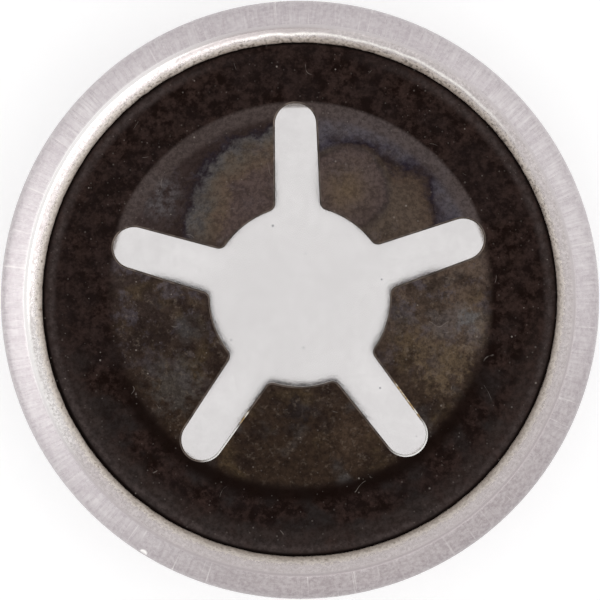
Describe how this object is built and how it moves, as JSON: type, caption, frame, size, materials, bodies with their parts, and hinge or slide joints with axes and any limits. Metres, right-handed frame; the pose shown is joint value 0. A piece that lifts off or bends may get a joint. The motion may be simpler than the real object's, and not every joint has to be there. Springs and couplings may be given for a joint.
{
  "type": "capped push-on retaining washer",
  "caption": "Round steel cap with a hemmed brim that holds a dished dark star washer, whose tines grip the end of a plain shaft.",
  "frame": {"origin": "centre of the crown's flat outer face, which the cap stands on with its open side up", "axes": "+Z along the shaft's axis, out of the open side; +Y towards the middle of one slot, within 1.5 degrees"},
  "size_m": [0.0096, 0.0096, 0.0034],
  "materials": {
    "drawn_steel": "dull drawn steel with fine draw lines, brighter sheared rim",
    "dark_spring_steel": "dark oxide, fine grain, with mottled temper colours on the tines"
  },
  "bodies": {
    "root": {"cap": "drawn_steel", "star_washer": "dark_spring_steel"}
  },
  "joints": []
}
